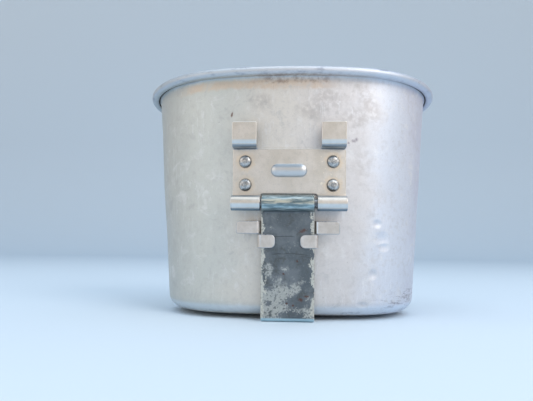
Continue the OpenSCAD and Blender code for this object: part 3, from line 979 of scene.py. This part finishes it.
def bracket_material():
    """Satin sheet: fine grain, bright edges, a tan stain and a dark ring round each rivet, and painted
    reflections and shade on the bends and the pressed oval.
    """
    m = Surface("satin_bracket_metal", 0.95)
    clouds = m.noise(6, 5, 0.6, shift=2)
    mottle = m.noise(1.3, 4, 0.6, shift=6)
    grain = m.noise(0.35, 2, 0.6)
    edge = m.attribute("edge")
    m.colour = m.mix(m.step(clouds, 0.35, 0.68), (207, 199, 188), (219, 211, 202))
    m.paint((188, 184, 178), m.step(mottle, 0.50, 0.70), 0.3)
    m.paint((160, 158, 156), m.step(grain, 0.48, 0.72), 0.15)

    plate = m.between(m.z, PIN.z + 4.2, PIN.z + PLATE_TOP - 0.8, 0.6)
    wobble = m.swing(mottle, 0.9)
    for level, side in RIVETS:
        # Where the rivet comes through the plate.
        place = hinge_matrix(rivet_turn(side)) @ Vector((0, RIVET_HEIGHTS[level], BRACKET_T))
        stain = m.times(m.spot(place.x, place.z, 4.0, 4.0, 0.2, wobble), plate)
        m.paint((222, 198, 164), stain, m.step(clouds, 0.3, 0.6), 0.38)
        # A dark ring painted on the plate just round each rivet's head.
        dark_ring = m.spot(place.x, place.z, 2.75, 2.75, 0.08, m.times(wobble, 0.2))
        m.paint((84, 78, 74), dark_ring, plate, 0.6)

    bright_specks = m.step(m.noise(1.0, 2, 0.5, shift=31), 0.66, 0.72)
    m.paint((240, 232, 216), bright_specks, m.step(m.x, 4, 16), plate, 0.7)
    dark_specks = m.step(m.noise(0.5, 2, 0.5, shift=17), 0.70, 0.76)
    m.paint((120, 112, 104), dark_specks, m.step(clouds, 0.5, 0.6), 0.5)
    dirty_edge = m.between(m.plus(edge, m.times(mottle, 0.6)), 0.35, 0.75, 0.15)
    m.paint((150, 134, 120), dirty_edge, m.step(clouds, 0.45, 0.6), 0.45)
    edge_band = m.step(edge, 0.34, 0.12)
    m.paint((232, 232, 230), edge_band, 0.6)

    # Painted reflection on the knuckle: a pale blue band low on its front, with painted shade in darker
    # blue bands on its top and its underside.
    for low, high, share, band in ((2.2, 3.6, 0.55, (126, 148, 166)),
                                   (-2.1, -0.5, 0.35, (196, 224, 242)),
                                   (-3.8, -2.4, 0.8, (96, 134, 160))):
        m.paint(band, m.between(m.z, PIN.z + low, PIN.z + high, 0.35), share)
    across = m.math("ABSOLUTE", m.x)
    hooks = m.step(across, 12.8, 13.0)
    hook_low = PIN.z + PLATE_TOP * UP_WALL.z
    # Painted reflection and shade on the hooks' lower bends: a pale blue band, with a darker blue painted
    # shade under it.
    for low, high, share, band in ((1.7, 3.2, 0.5, (190, 220, 240)), (0.1, 1.3, 0.65, (98, 128, 152))):
        m.paint(band, m.between(m.z, hook_low + low, hook_low + high, 0.3), hooks, share)

    past = m.math("MAXIMUM", m.plus(across, -BUMP_REACH), 0)
    height = m.plus(m.z, -BUMP_Z)
    away = m.math("SQRT", m.plus(m.times(past, past), m.times(height, height)))
    pressed = m.step(away, 2.75, 2.3)
    # Painted reflection and shade on the pressed oval: a bluish tint over it, darker painted shade on its
    # upper half, and a dark painted shade line round its edge.
    m.paint((192, 200, 208), pressed, 0.6)
    m.paint((120, 138, 152), pressed, m.step(height, 0.8, 1.9), 0.55)
    m.paint((112, 128, 142), m.between(away, 2.35, 2.8, 0.18), 0.55)
    roughness = m.plus(0.36, m.times(clouds, 0.10), m.times(edge_band, -0.10), m.times(pressed, -0.05))
    relief = m.plus(m.times(grain, 0.08), m.times(mottle, 0.10))
    return m.finish(roughness, m.bump(relief, 0.12))


def catch_material():
    """Warm bright sheet with blue-grey painted shade along its edges, and painted highlights on its front
    bends and tips.
    """
    m = Surface("bright_catch_metal", 0.95)
    clouds = m.noise(3, 4, 0.6, shift=8)
    grain = m.noise(0.4, 3, 0.6)
    edge = m.attribute("edge")
    m.colour = m.mix(m.step(clouds, 0.35, 0.68), (200, 191, 182), (212, 204, 197))
    m.paint((168, 160, 156), m.step(grain, 0.50, 0.72), 0.2)
    across = m.math("ABSOLUTE", m.x)
    in_front = m.step(m.y, PIN.y + 0.5, PIN.y - 0.5)
    # Painted highlight: a pale band down the front of each bend.
    m.paint((226, 238, 248), m.between(across, 11.2, 12.0, 0.25), in_front, 0.7)
    # Painted shade: a blue-grey band along every edge.
    edge_band = m.step(m.plus(edge, m.swing(clouds, 0.3)), 0.36, 0.12)
    m.paint((152, 166, 180), edge_band, 0.6)
    # Painted highlight on the front of the wrapping tabs near their tips.
    tip = m.times(m.between(across, 5.0, 6.2, 0.3), m.step(m.z, PIN.z - 12.6, PIN.z - 13.0), in_front)
    m.paint((236, 236, 236), tip, 0.5)
    roughness = m.plus(0.36, m.times(clouds, 0.08), m.times(edge_band, -0.12))
    return m.finish(roughness, m.bump(m.times(grain, 0.1), 0.1))


def rivet_material():
    """Hammered steel heads, dark where they meet the plate."""
    m = Surface("hammered_rivet_steel", 1.0)
    clouds = m.noise(1.0, 4, 0.6, shift=8)
    reach = m.attribute("reach")
    m.colour = m.mix(m.step(clouds, 0.38, 0.62), (150, 154, 158), (198, 197, 194))
    m.paint((118, 116, 114), m.between(m.plus(reach, m.swing(clouds, 0.3)), 0.28, 0.42, 0.05), 0.45)
    m.paint((80, 96, 112), m.step(reach, 0.88, 0.99), 0.65)
    return m.finish(m.plus(0.26, m.times(clouds, 0.16)), m.bump(m.times(clouds, 0.5), 0.12))


def pin_material():
    """Dark oiled steel."""
    m = Surface("dark_pin_steel", 1.0)
    clouds = m.noise(1.2, 4, 0.6, shift=8)
    m.colour = m.mix(m.step(clouds, 0.4, 0.65), (86, 88, 92), (150, 152, 154))
    return m.finish(m.plus(0.3, m.times(clouds, 0.15)))


def strap_material():
    """Tinned steel, darkened to slate and worn pale at the edges, with rust, and with painted reflections
    on the heel and the knuckle.
    """
    m = Surface("darkened_tin_on_steel", 0.82)
    clouds = m.noise(9, 5, 0.6, shift=8)
    patch = m.noise(4.2, 9, 0.68, shift=12, distortion=0.5)
    fine = m.noise(0.8, 4, 0.65, shift=6)
    edge = m.attribute("edge")
    face = m.step(m.z, PIN.z - 2.6, PIN.z - 4.4)
    m.colour = m.mix(m.step(clouds, 0.38, 0.62), (96, 103, 108), (116, 122, 127))
    m.paint((84, 86, 84), m.step(patch, 0.48, 0.34), 0.6)
    m.paint((122, 130, 132), m.step(fine, 0.50, 0.68), 0.45)

    # Bare pale tin is left low on the strap, most of it on the left.
    low = m.times(m.step(m.z, 27, 4), 0.13)
    low_left = m.times(m.step(m.x, 6, -10), m.step(m.z, 32, 20), 0.13)
    left = m.plus(patch, m.plus(low, low_left), m.swing(fine, 0.26))
    wobble = m.swing(fine, 2.6)
    for x, z, rx, rz, more in (
            (-2.6, 12.9, 2.6, 2.8, 0.12), (2.6, 13.3, 1.8, 2.2, 0.12), (-8.4, 21.4, 2.0, 3.0, 0.13),
            (1.1, 2.6, 5.0, 1.5, -0.3), (-8.5, 15.9, 2.2, 2.4, -0.25), (-8.2, 7.5, 0.9, 0.9, -0.3),
            (3.0, 8.6, 4.5, 2.4, -0.15), (7.0, 4.0, 2.5, 2.5, 0.1)):
        left = m.plus(left, m.times(m.spot(x, z, rx, rz, 0.5, wobble), more))
    tin = m.times(m.step(left, 0.60, 0.77), face)
    m.paint(m.mix(fine, (150, 155, 155), (204, 205, 199)), tin, 0.88)
    m.paint((88, 94, 98), tin, m.step(m.noise(1.0, 3, 0.6, shift=27), 0.55, 0.62), 0.75)

    chips = m.noise(2.6, 5, 0.65, stretch=(1, 1, 2), shift=41)
    ragged = m.plus(edge, m.swing(chips, -12.0), m.swing(fine, 4.0))
    worn = m.times(m.step(ragged, 1.1, 0.6), m.step(edge, 3.4, 1.6), face)
    m.paint((204, 203, 194), worn, 0.88)
    m.paint((104, 104, 98), worn, m.step(fine, 0.54, 0.62), 0.6)

    rust = m.spots(wobble, (6.0, 37.3, 1.3, 0.6, 0.8, 20), (5.6, 31.0, 0.7, 0.5, 0.6),
                   (7.6, 10.6, 1.0, 0.4, 0.6, 8), (5.0, 9.2, 0.8, 0.6, 0.6, -30),
                   (-2.0, 19.6, 0.4, 0.4, 0.6), (2.0, 6.8, 0.5, 0.4, 0.6), (3.6, 24.8, 0.35, 0.4, 0.6),
                   (-0.6, 7.6, 0.4, 0.35, 0.6))
    m.paint((104, 68, 57), rust, 0.7)
    # Painted reflection: a pale blue band along the heel's bend.
    heel_y = PIN.y + PIN.z * math.tan(DRAFT)
    heel = m.times(m.step(m.z, 1.9, 1.2), m.step(m.y, heel_y + 3, heel_y + 1))
    m.paint(m.mix(clouds, (164, 194, 206), (206, 230, 238)), heel, 0.92)

    # Fine dark cracks run across the strap on each side of the catch.
    bow = m.times(m.math("POWER", m.plus(m.x, 0.4), 2), 0.012)
    level = m.plus(m.z, bow, m.swing(clouds, 1.6))
    lines = m.most(m.times(m.between(level, 34.9, 35.1, 0.14), m.between(m.x, -5.5, 2.0, 0.7)),
                   m.times(m.between(level, 27.7, 27.9, 0.16), m.between(m.x, -6.5, 8.0, 1.0), 0.7),
                   m.times(m.between(level, 27.0, 27.15, 0.12), m.between(m.x, 4.5, 9.0, 0.5), 0.7))
    m.paint((44, 44, 46), lines, 0.85)

    # The knuckle has scratches that run across the strap, a painted highlight along its front broken up
    # by the streaks, and a painted pale blue reflection below that.
    roll = m.step(m.z, PIN.z - 3.6, PIN.z - 3.0)
    streaks = m.noise(1.0, 5, 0.65, stretch=(9, 1, 1), shift=18)
    m.paint(m.mix(m.step(streaks, 0.40, 0.62), (104, 124, 130), (176, 190, 192)), roll, 0.85)
    front_band = m.plus(m.z, m.swing(patch, 2))
    knuckle_highlight = m.times(m.between(front_band, PIN.z - 0.6, PIN.z + 1.5, 0.5), roll)
    m.paint((206, 202, 184), knuckle_highlight, m.step(streaks, 0.40, 0.58), 0.8)
    low_blue_reflection = m.times(m.between(m.z, PIN.z - 2.1, PIN.z - 1.0, 0.4), m.step(streaks, 0.34, 0.56), roll)
    m.paint((176, 214, 228), low_blue_reflection, 0.45)
    dark_streaks = m.noise(0.9, 4, 0.6, stretch=(7, 1, 1), shift=35)
    m.paint((40, 50, 54), roll, m.step(dark_streaks, 0.58, 0.66), 0.6)

    roughness = m.plus(0.42, m.times(fine, 0.12), m.times(tin, 0.08), m.times(roll, -0.12),
                       m.times(rust, 0.2))
    height = m.plus(m.times(fine, 0.35), m.times(patch, 0.3), m.times(lines, -0.8), m.times(worn, 0.25))
    return m.finish(roughness, m.bump(height, 0.12))


# ---- build ----

make_cup(cup_material())
make_bracket(bracket_material())
make_pin(pin_material())
rivet_look = rivet_material()
for number, (level, side) in enumerate(RIVETS):
    make_rivet(level, side, rivet_look, seed=number + 20)
make_handle(strap_material())
make_catch(catch_material())


# ---- floor, light and camera ----

def make_floor():
    """A pale floor that curves up into a wall behind."""
    radius, back, height, side, front = 0.6, 1.6, 2.4, 3.0, 3.0
    steps = 12
    outline = [(-front, 0.0), (back, 0.0)]
    for k in range(1, steps + 1):
        t = math.pi / 2 * k / steps
        outline.append((back + radius * math.sin(t), radius - radius * math.cos(t)))
    outline.append((back + radius, height))
    points = [(x, y, z) for y, z in outline for x in (-side, side)]
    faces = [(2 * k, 2 * k + 1, 2 * k + 3, 2 * k + 2) for k in range(len(outline) - 1)]
    mesh = bpy.data.meshes.new("floor")
    mesh.from_pydata(points, [], faces)
    mesh.shade_smooth()
    material, shader = new_material("pale_floor")
    shader.inputs["Base Color"].default_value = (0.64, 0.74, 0.83, 1)
    shader.inputs["Roughness"].default_value = 0.8
    mesh.materials.append(material)
    floor = add_object("floor", mesh)


def make_light(name, place, target, size, power, colour):
    data = bpy.data.lights.new(name, "AREA")
    data.shape = "RECTANGLE"
    data.size, data.size_y = size
    data.energy = power
    data.color = colour
    light = add_object(name, data)
    light.location = place
    light.rotation_euler = (Vector(target) - Vector(place)).to_track_quat("-Z", "Y").to_euler()


def make_world():
    """Soft light from all round: warm up to just above the horizon and pale blue higher up."""
    world = bpy.data.worlds.new("soft_studio")
    bpy.context.scene.world = world
    world.use_nodes = True
    nodes, links = world.node_tree.nodes, world.node_tree.links
    background = next(n for n in nodes if n.type == "BACKGROUND")
    background.inputs["Strength"].default_value = 0.84
    split = nodes.new("ShaderNodeSeparateXYZ")
    links.new(nodes.new("ShaderNodeTexCoord").outputs["Generated"], split.inputs[0])
    ramp = nodes.new("ShaderNodeValToRGB")
    ramp.color_ramp.elements[0].position = 0.2
    ramp.color_ramp.elements[0].color = (1.0, 0.90, 0.80, 1)
    ramp.color_ramp.elements[1].position = 0.7
    ramp.color_ramp.elements[1].color = (0.66, 0.82, 1.0, 1)
    links.new(split.outputs["Z"], ramp.inputs[0])
    links.new(ramp.outputs["Color"], background.inputs["Color"])


def make_camera():
    """Looks up a little at the front wall from close by, which is the photo's angle."""
    low = cad_box[0]
    eye = Vector((0.002, low.y - 0.1848, low.z + 0.0291))
    yaw, pitch, roll = math.radians(-3.37), math.radians(6.15), math.radians(0.70)
    data = bpy.data.cameras.new("camera")
    data.sensor_width = 36
    data.lens = 31.29
    data.clip_start = 0.005
    camera = add_object("camera", data)
    turn = Euler((math.pi / 2 + pitch, 0, -yaw), "XYZ").to_matrix() @ Matrix.Rotation(roll, 3, "Z")
    camera.matrix_world = Matrix.Translation(eye) @ turn.to_4x4()
    bpy.context.scene.camera = camera


make_floor()
make_world()
middle = (0, 0, 0.05)
make_light("key", (0.62, -0.62, 0.62), middle, (0.5, 0.7), 4.8, (1.0, 0.96, 0.93))
make_light("fill", (-0.8, -0.6, 0.35), middle, (0.8, 0.8), 1.3, (1.0, 0.95, 0.90))
make_light("top", (0.0, -0.25, 1.1), (0, -0.2, 0), (1.0, 0.8), 3.6, (0.86, 0.94, 1.0))
make_camera()
bpy.context.scene.view_settings.view_transform = "Standard"
